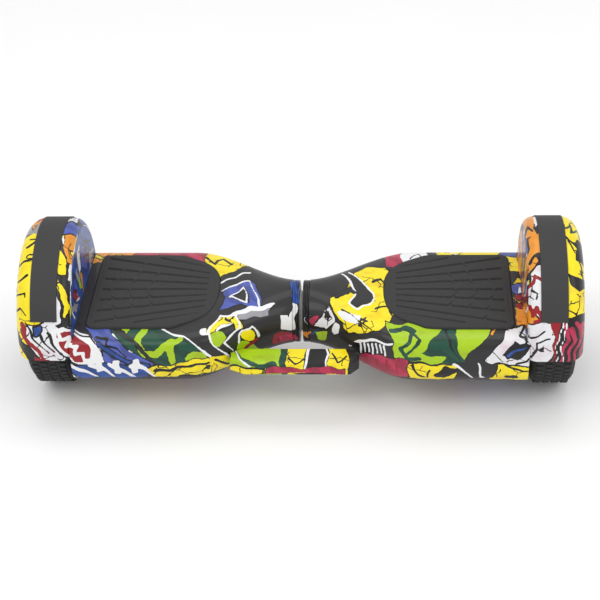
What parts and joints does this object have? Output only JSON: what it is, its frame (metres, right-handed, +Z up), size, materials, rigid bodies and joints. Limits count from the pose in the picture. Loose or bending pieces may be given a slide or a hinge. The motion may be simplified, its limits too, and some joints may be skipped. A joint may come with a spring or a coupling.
{
  "type": "self balancing hoverboard",
  "caption": "Two-wheeled self balancing board whose halves twist at a narrow waist, with hub-motor wheels under fenders, rubber foot pads and a bow-shaped carry handle.",
  "frame": {"origin": "on the floor under the waist, midway between the two halves", "axes": "+X along the board towards the right half, the carry handle on the -Y side, +Z up"},
  "size_m": [0.584, 0.186, 0.178],
  "materials": {
    "axle_steel": "turned steel",
    "battery_wrap": "heat-shrink wrap",
    "bearing_steel": "ground steel, shielded",
    "board_green": "solder mask",
    "bolt_steel": "zinc plated",
    "bush_plastic": "acetal",
    "button_silver": "turned cap",
    "cable_black": "sleeved harness",
    "cap_rubber": "soft flap",
    "cast_aluminium": "as cast",
    "copper_wire": "enamelled copper",
    "cover_metal": "black powder coat",
    "grommet_rubber": "soft rubber",
    "lamination_steel": "stacked laminations",
    "lamp_clear": "clear moulded lens",
    "magnet_nickel": "nickel plated",
    "pad_rubber": "matte moulded rubber with grip grooves",
    "port_black": "black moulding",
    "printed_handle": "glossy clear coat over an all-over multicolour print",
    "printed_shell": "glossy clear coat over an all-over multicolour print",
    "printed_shell_low": "glossy clear coat over an all-over multicolour print",
    "rim_metal": "cast, dark grey",
    "ring_print": "glossy, dark print",
    "satin_black": "satin black, fine grain",
    "screw_black": "black oxide",
    "sink_aluminium": "extruded",
    "spring_steel": "black spring steel",
    "strap_steel": "zinc plated",
    "tube_steel": "drawn tube",
    "tyre_rubber": "solid rubber tread"
  },
  "bodies": {
    "left_half": {"left_upper_shell": "printed_shell", "left_lower_shell": "printed_shell_low", "left_bumper_strip": "satin_black", "left_waist_ring": "ring_print", "left_chassis": "cast_aluminium", "left_axle_strap": "strap_steel", "left_axle_strap_bolts": "bolt_steel", "left_shell_screws": "screw_black", "left_gyro_board": "board_green", "left_pivot_bushes": "bush_plastic", "left_lamp_lens": "lamp_clear", "left_axle": "axle_steel", "left_stator_core": "lamination_steel", "left_windings": "copper_wire", "pivot_tube": "tube_steel", "tube_clips": "spring_steel", "thrust_washer": "bush_plastic", "tube_lock_bolt": "bolt_steel", "harness_cable": "cable_black", "tube_grommets": "grommet_rubber", "main_board": "board_green", "board_heat_sink": "sink_aluminium", "handle": "printed_handle", "handle_screws": "screw_black"},
    "right_half": {"right_upper_shell": "printed_shell", "right_lower_shell": "printed_shell_low", "right_bumper_strip": "satin_black", "right_waist_ring": "ring_print", "right_chassis": "cast_aluminium", "right_axle_strap": "strap_steel", "right_axle_strap_bolts": "bolt_steel", "right_shell_screws": "screw_black", "right_gyro_board": "board_green", "right_pivot_bushes": "bush_plastic", "right_lamp_lens": "lamp_clear", "right_axle": "axle_steel", "right_stator_core": "lamination_steel", "right_windings": "copper_wire", "twist_stop_bolt": "bolt_steel", "battery_pack": "battery_wrap", "battery_bracket": "strap_steel", "battery_bracket_screws": "bolt_steel", "charge_socket": "port_black", "button_housing": "port_black"},
    "left_wheel": {"left_tyre": "tyre_rubber", "left_hub_rim": "rim_metal", "left_magnets": "magnet_nickel", "left_hub_covers": "cover_metal", "left_cover_screws": "bolt_steel", "left_bearings": "bearing_steel"},
    "right_wheel": {"right_tyre": "tyre_rubber", "right_hub_rim": "rim_metal", "right_magnets": "magnet_nickel", "right_hub_covers": "cover_metal", "right_cover_screws": "bolt_steel", "right_bearings": "bearing_steel"},
    "left_pad": {"left_foot_pad": "pad_rubber"},
    "right_pad": {"right_foot_pad": "pad_rubber"},
    "button": {"power_button": "button_silver"},
    "port_cap": {"charge_port_cap": "cap_rubber"}
  },
  "joints": [
    {"name": "waist_twist", "type": "hinge", "parent": "left_half", "child": "right_half", "pos_m": [0, 0, 0.075], "axis": [1, 0, 0], "range_deg": [-10, 10]},
    {"name": "left_wheel_spin", "type": "hinge", "parent": "left_half", "child": "left_wheel", "pos_m": [-0.2625, 0, 0.084], "axis": [1, 0, 0], "continuous": true},
    {"name": "right_wheel_spin", "type": "hinge", "parent": "right_half", "child": "right_wheel", "pos_m": [0.2625, 0, 0.084], "axis": [1, 0, 0], "continuous": true},
    {"name": "left_pad_press", "type": "slide", "parent": "left_half", "child": "left_pad", "axis": [0, 0, -1], "range_m": [0, 0.0016], "stiffness_N_per_m": 20000},
    {"name": "right_pad_press", "type": "slide", "parent": "right_half", "child": "right_pad", "axis": [0, 0, -1], "range_m": [0, 0.0016], "stiffness_N_per_m": 20000},
    {"name": "power_button_press", "type": "slide", "parent": "right_half", "child": "button", "axis": [0, -1, 0], "range_m": [0, 0.0015], "stiffness_N_per_m": 1500},
    {"name": "port_cap_swing", "type": "hinge", "parent": "right_half", "child": "port_cap", "pos_m": [0.114, 0.0824, 0.0657], "axis": [1, 0, 0], "range_deg": [0, 80]}
  ]
}
